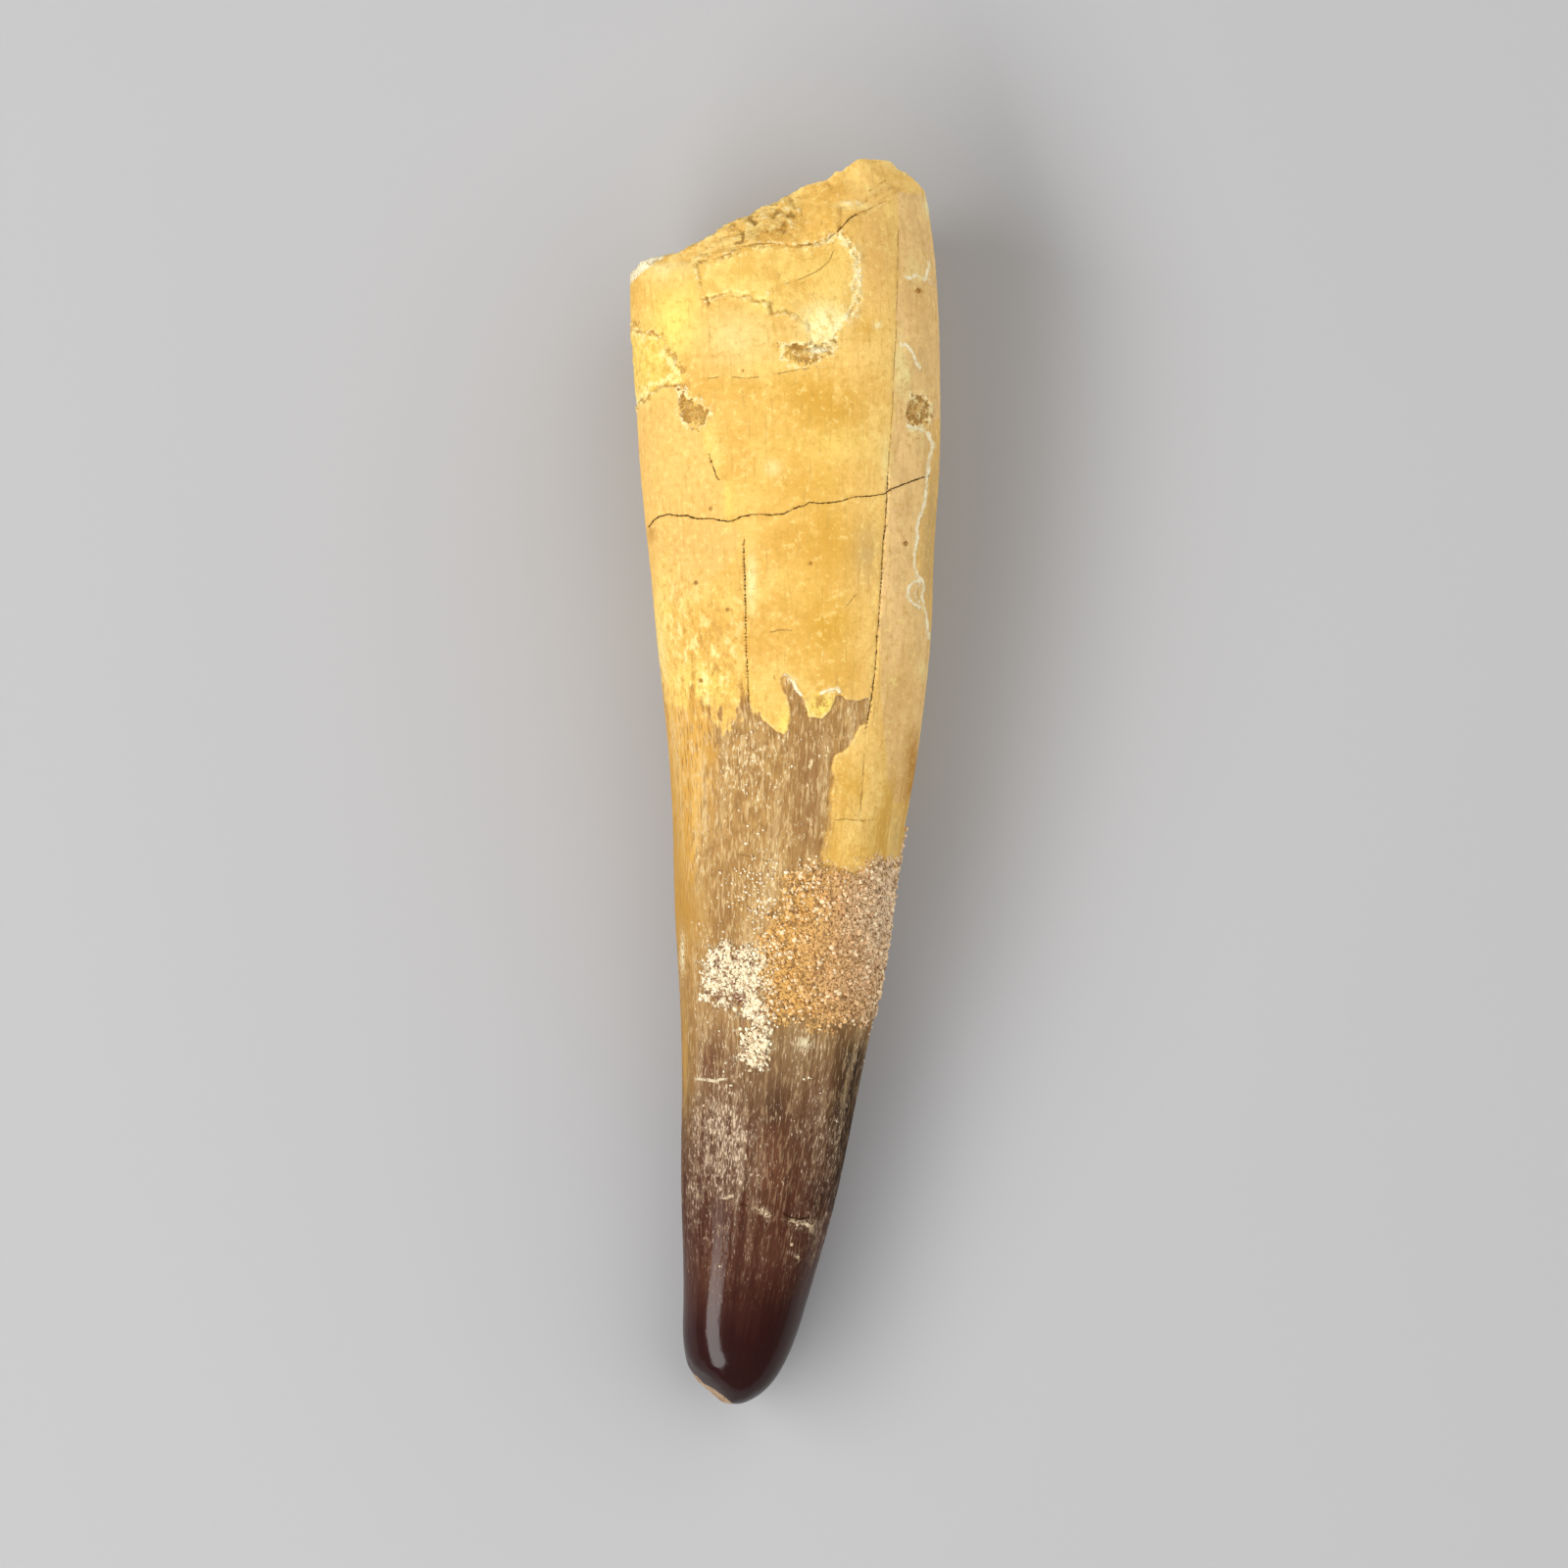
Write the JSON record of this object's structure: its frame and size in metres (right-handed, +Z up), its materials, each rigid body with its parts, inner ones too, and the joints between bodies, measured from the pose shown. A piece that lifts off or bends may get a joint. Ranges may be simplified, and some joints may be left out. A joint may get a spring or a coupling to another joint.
{
  "type": "spinosaurus tooth",
  "caption": "Fossil spinosaurus tooth: a worn, slightly curved crown and its broken root in one piece, lying on its flatter side.",
  "frame": {"origin": "under the middle of the tooth, at the level of the surface it lies on", "axes": "+Y from the tip of the crown towards the broken root end, +X towards the convex edge, +Z up from the surface it lies on"},
  "size_m": [0.0352, 0.1404, 0.026],
  "materials": {
    "fossil": "ochre, worn root; streaked brown crown with a sandy crust; dark red-brown polished enamel at the tip"
  },
  "bodies": {
    "root": {"tooth": "fossil"}
  },
  "joints": []
}
